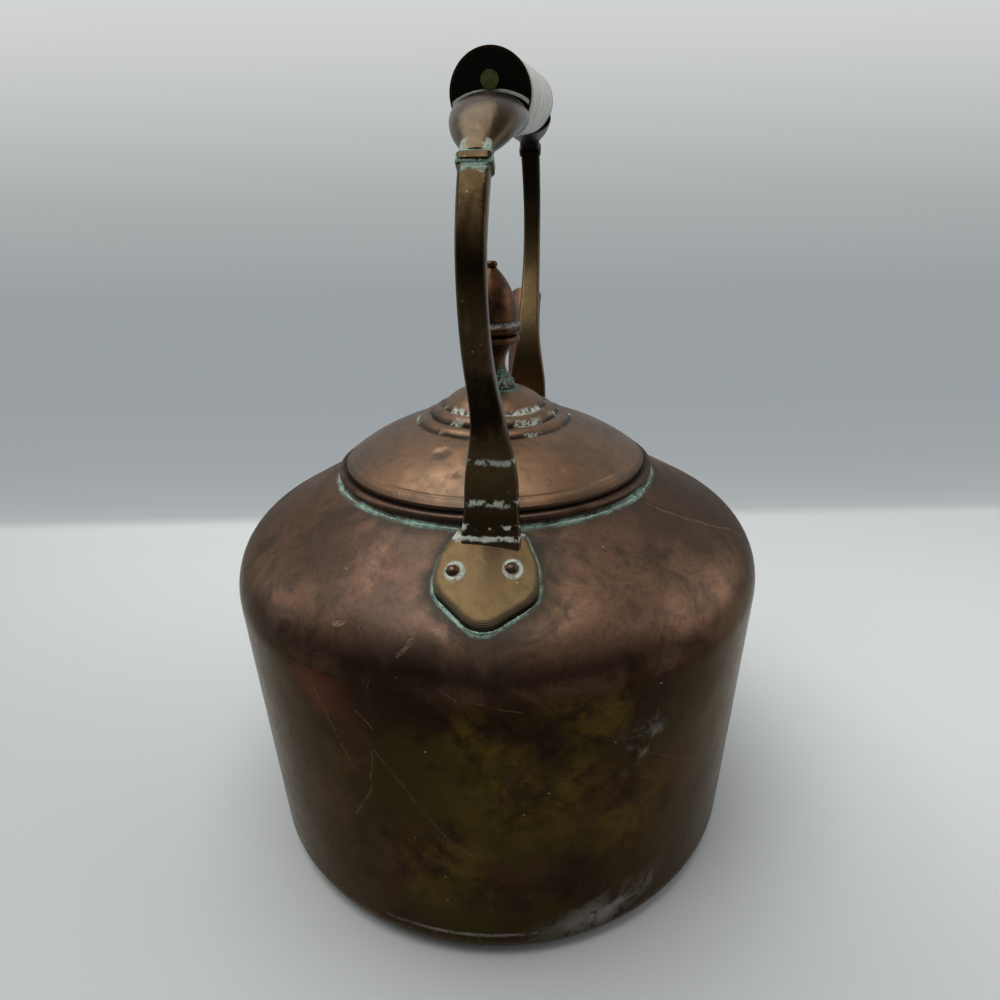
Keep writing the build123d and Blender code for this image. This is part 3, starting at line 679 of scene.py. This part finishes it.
def knob_material(name, look):
    """Cast knob: dark in the grooves, green residue low down and on its band."""
    mat, net, shader, place = new_material(name)
    up = net.math("SUBTRACT", net.split(place)[2], BOSS_Z)
    cloud = net.noise(place, 7.0, 4.0, 0.6, 0.5)
    ragged = net.noise(place, 1.2, 4.0, 0.7, 0.4)
    brass = net.mix(net.step(cloud, 0.30, 0.60), look.knob, tone("583b26"))
    coat = Coat(net, brass, 0.92, net.blend(cloud, 0.30, 0.48))
    stem = net.times(net.near(up, 7.0, 5.0), 0.8)
    groove = net.most(net.near(up, 21.4, 1.2), net.near(up, 26.6, 1.0), stem)
    coat.lay(net.times(groove, 0.8), "19140f")
    pale = net.times(net.near(up, 25.6, 1.3), net.step(ragged, 0.40, 0.56))
    green = net.times(net.step(up, 11.0, 3.0), net.step(ragged, 0.44, 0.58))
    coat.lay(pale, "8d9189")
    coat.lay(green, "6f988a")
    crust = net.most(pale, green)
    coat.lay(crust, metal=0.0, rough=0.9)
    coat.finish(shader, [
        (net.noise(place, 4.0, 2.0), 0.2, 0.5),
        (net.noise(place, 0.6, 3.0, 0.7), 0.04, 0.6),
        (net.times(crust, ragged), 0.3, 0.8),
    ])
    return mat


def grip_material(name, look):
    """Grip tube: pale worn metal with fine turned lines round it."""
    mat, net, shader, place = new_material(name)
    rings = net.noise(net.vector("MULTIPLY", place, (1.0, 0.16, 0.16)), 0.9, 3.0, 0.6)
    wide = net.noise(net.vector("MULTIPLY", place, (1.0, 0.3, 0.3)), 7.0, 3.0, 0.6)
    cloud = net.noise(place, 11.0, 4.0, 0.6, 0.5)
    metal = net.mix(net.step(rings, 0.36, 0.66), look.grip, tone("c9c8c0"))
    coat = Coat(net, metal, 0.7, net.blend(cloud, 0.28, 0.46))
    coat.lay(net.step(wide, 0.52, 0.72, 0.0, 0.5), "6e675c")
    inward = grip_place(net, place)[0]
    coat.lay(net.times(net.step(inward, 6.5, 4.0), 0.7), "3a352c")
    coat.finish(shader, [(rings, 0.07, 0.7), (net.noise(place, 8.0, 2.0), 0.3, 0.4)])
    return mat


def small_metal(name, code_a, code_b, rough_a, rough_b):
    """Small fittings: two tones with grain."""
    mat, net, shader, place = new_material(name)
    cloud = net.noise(place, 2.6, 4.0, 0.6, 0.4)
    metal = net.mix(net.step(cloud, 0.38, 0.64), tone(code_a), tone(code_b))
    coat = Coat(net, metal, 0.92, net.blend(cloud, rough_a, rough_b))
    grain = net.noise(place, 0.5, 3.0, 0.7)
    coat.finish(shader, [(net.noise(place, 1.8, 2.0), 0.12, 0.6), (grain, 0.04, 0.5)])
    return mat


def crust_material(name):
    """Pale green residue with paler crumbs."""
    mat, net, shader, place = new_material(name)
    cloud = net.noise(place, 6.0, 4.0, 0.65, 0.5)
    crumb = net.noise(place, 0.9, 4.0, 0.7)
    coat = Coat(net, residue_colour(net, crumb, cloud), 0.0, 0.93)
    coat.lay(net.step(net.noise(place, 10.0), 0.52, 0.70, 0.0, 0.7), "a9b5a8")
    coat.finish(shader, [(crumb, 0.25, 0.9)])
    return mat


def tint(name, code):
    """Colour property that starts at a display code."""
    about = f"{name} of the kettle"
    return FloatVectorProperty(
        name=name, description=about, default=tone(code), size=3, subtype="COLOR", min=0.0, max=1.0
    )


class KettleColours(PropertyGroup):
    """Colours of the worn metals."""

    rubbed: tint("Rubbed copper", "7d5f4c")
    brown: tint("Brown copper", "48382e")
    wall_rubbed: tint("Rubbed wall copper", "3f2a1b")
    wall_brown: tint("Brown wall copper", "271910")
    plum: tint("Plum patina", "3e2a27")
    dark: tint("Dark oxide", "1d1510")
    olive: tint("Olive patina", "352d10")
    golden: tint("Rubbed brass", "5c4c32")
    cast: tint("Dark brass", "30230f")
    knob: tint("Knob brass", "2a1e13")
    grip: tint("Grip metal", "96938a")


class KettleLid(PropertyGroup):
    """Colours of the lid sheet."""

    rubbed: tint("Rubbed lid copper", "755943")
    brown: tint("Brown lid copper", "574636")
    dark: tint("Dark lid oxide", "2a1f17")


class KettleStage(PropertyGroup):
    """Camera, floor and lights."""

    lens: FloatProperty(name="Lens", description="Focal length", default=25.016, unit="CAMERA")
    wall_distance: FloatProperty(
        name="Backdrop distance",
        description="From the kettle axis to the backdrop",
        default=0.295,
        unit="LENGTH",
    )
    key_power: FloatProperty(
        name="Top light", description="Power of the large top light", default=7.6, unit="POWER"
    )
    side_power: FloatProperty(
        name="Side light", description="Power of each side light", default=1.9, unit="POWER"
    )


class KettleCrust(PropertyGroup):
    """Residue in the joints."""

    width: FloatProperty(
        name="Residue width", description="Width of the bead of residue", default=0.0014, unit="LENGTH"
    )
    sink: FloatProperty(
        name="Residue sink", description="How far the bead is let in", default=0.0002, unit="LENGTH"
    )
    seed: IntProperty(name="Seed", description="Pattern of the lumps", default=7, min=0)


def dress(node, material):
    """Gives a carried-over node its material."""
    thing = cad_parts[node]
    thing.data.materials.clear()
    thing.data.materials.append(material)


def shoulder_z(radius):
    """Height of the shoulder surface at a radius, millimetres."""
    return NECK_Z + (NECK_R - radius) * SHOULDER_SLOPE

def bead_tree(crust):
    """Node group: a path becomes a lumpy bead with a width, a lump size and a seed."""
    tree = bpy.data.node_groups.new("residue_bead", "GeometryNodeTree")
    tree.is_modifier = True
    tree.interface.new_socket("Geometry", in_out="INPUT", socket_type="NodeSocketGeometry")
    for name, value in (("Width", 0.0016), ("Lumps", 0.6), ("Lump length", 0.006)):
        tree.interface.new_socket(name, in_out="INPUT", socket_type="NodeSocketFloat").default_value = value
    tree.interface.new_socket("Seed", in_out="INPUT", socket_type="NodeSocketInt").default_value = 7
    tree.interface.new_socket("Geometry", in_out="OUTPUT", socket_type="NodeSocketGeometry")
    net = Net(tree)
    given, out = net.node("NodeGroupInput"), net.node("NodeGroupOutput")
    spot = net.node("GeometryNodeInputPosition").outputs[0]

    def lumps(size, detail):
        made = net.node("ShaderNodeTexNoise", noise_dimensions="4D")
        feeds = {"Vector": spot, "W": given.outputs["Seed"], "Scale": size, "Detail": detail}
        for socket, value in feeds.items():
            net.plug(value, made.inputs[socket])
        return net.math("SUBTRACT", made.outputs[0], 0.5)

    # the path, evenly divided, with a radius that swells and thins
    curve = net.node("GeometryNodeMeshToCurve")
    net.plug(given.outputs["Geometry"], curve.inputs[0])
    even = net.node("GeometryNodeResampleCurve", mode="LENGTH")
    net.plug(curve.outputs[0], even.inputs["Curve"])
    net.plug(BEAD_STEP * MM, even.inputs["Length"])
    broad = lumps(net.math("DIVIDE", 1.0, given.outputs["Lump length"]), 2.0)
    swell = net.math("ADD", 0.55, net.times(broad, 4.0, given.outputs["Lumps"]))
    thick = net.math("MAXIMUM", swell, BEAD_THINNEST)
    radius = net.node("GeometryNodeSetCurveRadius")
    net.plug(even.outputs[0], radius.inputs["Curve"])
    net.plug(thick, radius.inputs["Radius"])

    # a round skin along it, roughened
    profile = net.node("GeometryNodeCurvePrimitiveCircle")
    net.plug(BEAD_SIDES, profile.inputs["Resolution"])
    net.plug(net.math("MULTIPLY", given.outputs["Width"], 0.5), profile.inputs["Radius"])
    skin = net.node("GeometryNodeCurveToMesh")
    net.plug(radius.outputs[0], skin.inputs["Curve"])
    net.plug(profile.outputs[0], skin.inputs["Profile Curve"])
    if "Scale" in skin.inputs:
        net.plug(thick, skin.inputs["Scale"])
    net.plug(True, skin.inputs["Fill Caps"])
    moved = net.node("GeometryNodeSetPosition")
    net.plug(skin.outputs[0], moved.inputs["Geometry"])
    normal = net.node("GeometryNodeInputNormal").outputs[0]
    rise = net.vector("SCALE", normal, scale=net.math("MULTIPLY", lumps(900.0, 3.0), 0.9 * MM))
    net.plug(rise, moved.inputs["Offset"])

    last = moved
    for kind in ("GeometryNodeSetShadeSmooth", "GeometryNodeRealizeInstances", "GeometryNodeSetMaterial"):
        added = net.node(kind)
        net.plug(last.outputs[0], added.inputs[0])
        last = added
    last.inputs["Material"].default_value = crust
    net.plug(last.outputs[0], out.inputs[0])
    return tree


def bead(name, tree, path, closed, width, seed):
    """Plain mesh of a residue bead along a path given in millimetres."""
    guide = bpy.data.meshes.new(name + "_path")
    edges = [(i, i + 1) for i in range(len(path) - 1)] + ([(len(path) - 1, 0)] if closed else [])
    guide.from_pydata([tuple(p * MM) for p in path], edges, [])
    thing = add_to_scene(name, guide)
    layer = thing.modifiers.new("residue", "NODES")
    layer.node_group = tree
    given = {"Width": width, "Seed": seed}
    for item in tree.interface.items_tree:
        if item.in_out == "INPUT" and item.name in given:
            layer[item.identifier] = given[item.name]
    held = thing.evaluated_get(bpy.context.evaluated_depsgraph_get())
    mesh = bpy.data.meshes.new_from_object(held)
    mesh.name = name
    thing.modifiers.remove(layer)
    thing.data = mesh
    bpy.data.meshes.remove(guide)
    return thing


def on_shoulder(x, y, sink):
    """Place on the shoulder over a plan position, let in by sink."""
    r = math.hypot(x, y)
    slope = 1.0 / math.hypot(1.0, SHOULDER_SLOPE)
    up = Vector((x / r * SHOULDER_SLOPE, y / r * SHOULDER_SLOPE, 1.0)) * slope
    return Vector((x, y, shoulder_z(r))) - up * sink


def ring_path(radius, count, sink):
    """Places round the shoulder at one radius."""
    turns = [2.0 * math.pi * i / count for i in range(count)]
    return [on_shoulder(radius * math.cos(a), radius * math.sin(a), sink) for a in turns]


def plate_path(side, margin, sink):
    """Places round a foot plate on the shoulder, just outside its outline."""
    half = [RESIDUE_START, *PLATE_SIDE[1:-1]]
    corners = half + [(x, -y) for x, y in reversed(half)]
    spots = []
    for (x0, y0), (x1, y1) in zip(corners, corners[1:]):
        steps = max(2, int(math.hypot(x1 - x0, y1 - y0) / RESIDUE_STEP))
        spots += [(x0 + (x1 - x0) * t / steps, y0 + (y1 - y0) * t / steps) for t in range(steps)]
    path = []
    for i in range(len(spots)):
        near = spots[max(0, i - 3) : i + 4]
        x, y = (sum(p[k] for p in near) / len(near) for k in (0, 1))
        a, b = near[0], near[-1]
        run = math.hypot(b[0] - a[0], b[1] - a[1])
        x, y = x - (b[1] - a[1]) / run * margin, y + (b[0] - a[0]) / run * margin
        path.append(on_shoulder(side * x, y + HANDLE_Y, sink))
    return path


class KETTLE_OT_vessel(Operator):
    """Old copper on the pan, wall, shoulder, collar and spout"""

    bl_idname = "kettle.vessel"
    bl_label = "Dress vessel"

    def execute(self, context):
        for node, name, part in VESSEL:
            dress(node, copper_material(name, context.scene.kettle_colours, part))
        return {"FINISHED"}


class KETTLE_OT_lid(Operator):
    """Lighter copper on the lid, and its cast knob"""

    bl_idname = "kettle.lid"
    bl_label = "Dress lid"

    def execute(self, context):
        dress("lid_dome", lid_material("lid_copper", context.scene.kettle_lid))
        dress("lid_flange", small_metal("flange_copper", "8d6049", "5b3d2f", 0.35, 0.5))
        dress("lid_knob", knob_material("knob_brass", context.scene.kettle_colours))
        dress("knob_washer", small_metal("washer_brass", "8d7443", "5a4526", 0.35, 0.5))
        return {"FINISHED"}


class KETTLE_OT_handle(Operator):
    """Cast uprights, grip, rod and rivets"""

    bl_idname = "kettle.handle"
    bl_label = "Dress handle"

    def execute(self, context):
        look = context.scene.kettle_colours
        brass = brass_material("upright_brass", look)
        dress("handle_grip", grip_material("grip_metal", look))
        dress("handle_tie_rod", small_metal("rod_iron", "6f7340", "565a38", 0.45, 0.6))
        rivet = small_metal("rivet_copper", "5e4638", "3f3027", 0.28, 0.42)
        rove = small_metal("rove_copper", "8a5c46", "5c3e30", 0.35, 0.5)
        for end in ("rear", "front"):
            dress(f"{end}_upright", brass)
            dress(f"{end}_rivets", rivet)
            dress(f"{end}_rivet_roves", rove)
        return {"FINISHED"}


class KETTLE_OT_residue(Operator):
    """Beads of green residue round the collar and the foot plates"""

    bl_idname = "kettle.residue"
    bl_label = "Add residue"

    def execute(self, context):
        size = context.scene.kettle_crust
        tree = bead_tree(crust_material("residue"))
        wide, sink = size.width, size.sink / MM
        ring = ring_path(COLLAR_BEAD_R + RING_MARGIN, RING_PLACES, sink)
        rear, front = (plate_path(side, RESIDUE_MARGIN, sink) for side in (-1, 1))
        pieces = [
            bead("collar_residue", tree, ring, True, wide, size.seed),
            bead("rear_plate_residue", tree, rear, False, wide * 0.8, size.seed + 3),
            bead("front_plate_residue", tree, front, False, wide * 0.8, size.seed + 5),
        ]
        for piece in pieces:
            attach(piece, "kettle")
        return {"FINISHED"}


class KETTLE_OT_stage(Operator):
    """Camera, sweep, lights and world"""

    bl_idname = "kettle.stage"
    bl_label = "Set stage"

    def execute(self, context):
        size = context.scene.kettle_stage
        make_camera(size)
        make_sweep(size)
        make_lights(size)
        make_world()
        return {"FINISHED"}


def add_to_scene(name, data):
    """New object in the scene that holds the data."""
    thing = bpy.data.objects.new(name, data)
    bpy.context.scene.collection.objects.link(thing)
    return thing


def make_camera(size):
    """Camera where the photograph was taken from."""
    data = bpy.data.cameras.new("camera")
    data.lens = size.lens
    data.sensor_width = 36.0
    data.clip_start = 0.01
    camera = add_to_scene("camera", data)
    turn = Matrix((CAMERA_RIGHT, CAMERA_UP, -CAMERA_AHEAD)).transposed()
    camera.matrix_world = Matrix.Translation(CAMERA_PLACE) @ turn.to_4x4()
    bpy.context.scene.camera = camera


def sweep_material(name):
    """Pale sweep: floor lit by the lamps and painted darker towards the camera as painted shade, and a
    backdrop that glows with painted light and shade from pale to grey and back.
    """
    mat = bpy.data.materials.new(name)
    mat.use_nodes = True
    mat.node_tree.nodes.clear()
    net = Net(mat.node_tree)
    out = net.node("ShaderNodeOutputMaterial")
    x, y, z = net.split(net.node("ShaderNodeTexCoord").outputs["Object"])

    # the backdrop glows with painted light and shade by height, so its tones don't depend on the lights
    ramp = net.node("ShaderNodeValToRGB")
    net.plug(net.math("DIVIDE", z, BACKDROP_HEIGHT), ramp.inputs[0])
    tones = ramp.color_ramp.elements
    tones[0].color = (*tone(BACKDROP_STOPS[0][1]), 1.0)
    tones[1].color = (*tone(BACKDROP_STOPS[-1][1]), 1.0)
    for place, code in BACKDROP_STOPS[1:-1]:
        tones.new(place).color = (*tone(code), 1.0)
    glow = net.node("ShaderNodeEmission")
    net.plug(ramp.outputs[0], glow.inputs[0])

    floor = net.node("ShaderNodeBsdfDiffuse")
    # painted shade: the floor is painted darker towards the camera and paler towards the backdrop
    even = net.step(net.math("SUBTRACT", x, net.math("MULTIPLY", y, 0.35)), -0.16, 0.16)
    net.plug(net.mix(even, tone("b8bbb9"), tone("d2d5d3")), floor.inputs[0])

    # the backdrop lets the view through from its back
    on_wall = net.step(z, 0.0015, 0.012)
    solid = net.shaders(on_wall, floor, glow)
    facing = net.node("ShaderNodeNewGeometry").outputs["Backfacing"]
    shown = net.shaders(net.times(facing, on_wall), solid, net.node("ShaderNodeBsdfTransparent"))
    mat.node_tree.links.new(shown.outputs[0], out.inputs[0])
    return mat


def sweep_line(far):
    """Side view of the sweep as (distance, height): floor, bend and backdrop."""
    line = [(-SWEEP_REACH, 0.0), (far - SWEEP_BEND, 0.0)]
    for i in range(1, BEND_STEPS + 1):
        a = math.pi / 2.0 * i / BEND_STEPS
        line.append((far - SWEEP_BEND + SWEEP_BEND * math.sin(a), SWEEP_BEND - SWEEP_BEND * math.cos(a)))
    return line + [(far, SWEEP_TOP)]


def make_sweep(size):
    """Floor that turns up into a backdrop behind the kettle, and plain floor beyond it."""
    ahead = Vector((CAMERA_AHEAD.x, CAMERA_AHEAD.y, 0.0)).normalized()
    across = Vector((-ahead.y, ahead.x, 0.0))
    bm = bmesh.new()
    rows = []
    for d, z in sweep_line(size.wall_distance):
        left = bm.verts.new(ahead * d + across * SWEEP_REACH + Vector((0, 0, z)))
        right = bm.verts.new(ahead * d - across * SWEEP_REACH + Vector((0, 0, z)))
        rows.append((left, right))
    for (a, b), (c, d) in zip(rows, rows[1:]):
        bm.faces.new((b, d, c, a))
    mesh = bpy.data.meshes.new("sweep")
    bm.to_mesh(mesh)
    bm.free()
    for poly in mesh.polygons:
        poly.use_smooth = True
    mesh.materials.append(sweep_material("sweep"))
    sweep = add_to_scene("sweep", mesh)

    beyond = bpy.data.meshes.new("floor_beyond")
    corners = [
        ahead * (d * FLOOR_REACH) + across * (s * FLOOR_REACH) + Vector((0, 0, -FLOOR_DROP))
        for d, s in ((-1, -1), (1, -1), (1, 1), (-1, 1))
    ]
    beyond.from_pydata([tuple(c) for c in corners], [], [(0, 1, 2, 3)])
    mat = bpy.data.materials.new("floor_beyond")
    mat.use_nodes = True
    shader = mat.node_tree.nodes["Principled BSDF"]
    shader.inputs["Base Color"].default_value = (*tone("b9bcba"), 1.0)
    shader.inputs["Roughness"].default_value = 0.9
    beyond.materials.append(mat)
    floor = add_to_scene("floor_beyond", beyond)


def area_light(name, place, aim, side, power):
    """Soft square light that points at aim."""
    data = bpy.data.lights.new(name, "AREA")
    data.shape = "SQUARE"
    data.size = side
    data.energy = power
    lamp = add_to_scene(name, data)
    lamp.location = place
    lamp.rotation_mode = "QUATERNION"
    lamp.rotation_quaternion = (Vector(aim) - Vector(place)).to_track_quat("-Z", "Y")


def make_lights(size):
    """One large top light and two softer side lights."""
    area_light("top_light", (-0.05, 0.16, 0.95), (0.0, 0.0, 0.1), 0.75, size.key_power)
    for name, y in (("left_light", 0.85), ("right_light", -0.85)):
        area_light(name, (0.15, y, 0.45), (0.0, 0.0, 0.12), 0.7, size.side_power)


def make_world():
    """Dim room on the camera's side, brighter above and behind."""
    world = bpy.data.worlds.new("room")
    bpy.context.scene.world = world
    world.use_nodes = True
    world.node_tree.nodes.clear()
    net = Net(world.node_tree)
    out = net.node("ShaderNodeOutputWorld")
    back = net.node("ShaderNodeBackground")
    x, _, z = net.split(net.node("ShaderNodeTexCoord").outputs["Generated"])
    rear = net.math("MULTIPLY", net.step(x, -0.75, 0.25), 0.42)
    above = net.math("MULTIPLY", net.step(z, 0.05, 0.85), 0.65)
    net.plug(net.mix(net.most(rear, above), tone("2b2a29"), tone("e6e8e8")), back.inputs[0])
    net.plug(0.75, back.inputs[1])
    world.node_tree.links.new(back.outputs[0], out.inputs[0])


class KETTLE_PT_panel(Panel):
    """Lists the steps that dress the kettle"""

    bl_label = "Kettle"
    bl_idname = "KETTLE_PT_panel"
    bl_space_type = "VIEW_3D"
    bl_region_type = "UI"
    bl_category = "Kettle"

    def draw(self, context):
        for step in OPERATORS:
            self.layout.operator(step.bl_idname)
        for group in GROUPS:
            holder = getattr(context.scene, group)
            box = self.layout.box()
            for key in holder.__annotations__:
                box.prop(holder, key)


GROUPS = {
    "kettle_colours": KettleColours,
    "kettle_lid": KettleLid,
    "kettle_crust": KettleCrust,
    "kettle_stage": KettleStage,
}
OPERATORS = (KETTLE_OT_vessel, KETTLE_OT_lid, KETTLE_OT_handle, KETTLE_OT_residue, KETTLE_OT_stage)


def register():
    for name, group in GROUPS.items():
        bpy.utils.register_class(group)
        setattr(bpy.types.Scene, name, PointerProperty(type=group))
    for item in (*OPERATORS, KETTLE_PT_panel):
        bpy.utils.register_class(item)


def unregister():
    for item in reversed((*OPERATORS, KETTLE_PT_panel)):
        bpy.utils.unregister_class(item)
    for name, group in GROUPS.items():
        delattr(bpy.types.Scene, name)
        bpy.utils.unregister_class(group)


def main():
    register()
    bpy.context.scene.view_settings.view_transform = "Standard"
    bpy.ops.kettle.vessel()
    bpy.ops.kettle.lid()
    bpy.ops.kettle.handle()
    bpy.ops.kettle.residue()
    bpy.ops.kettle.stage()


if __name__ == "__main__":
    main()
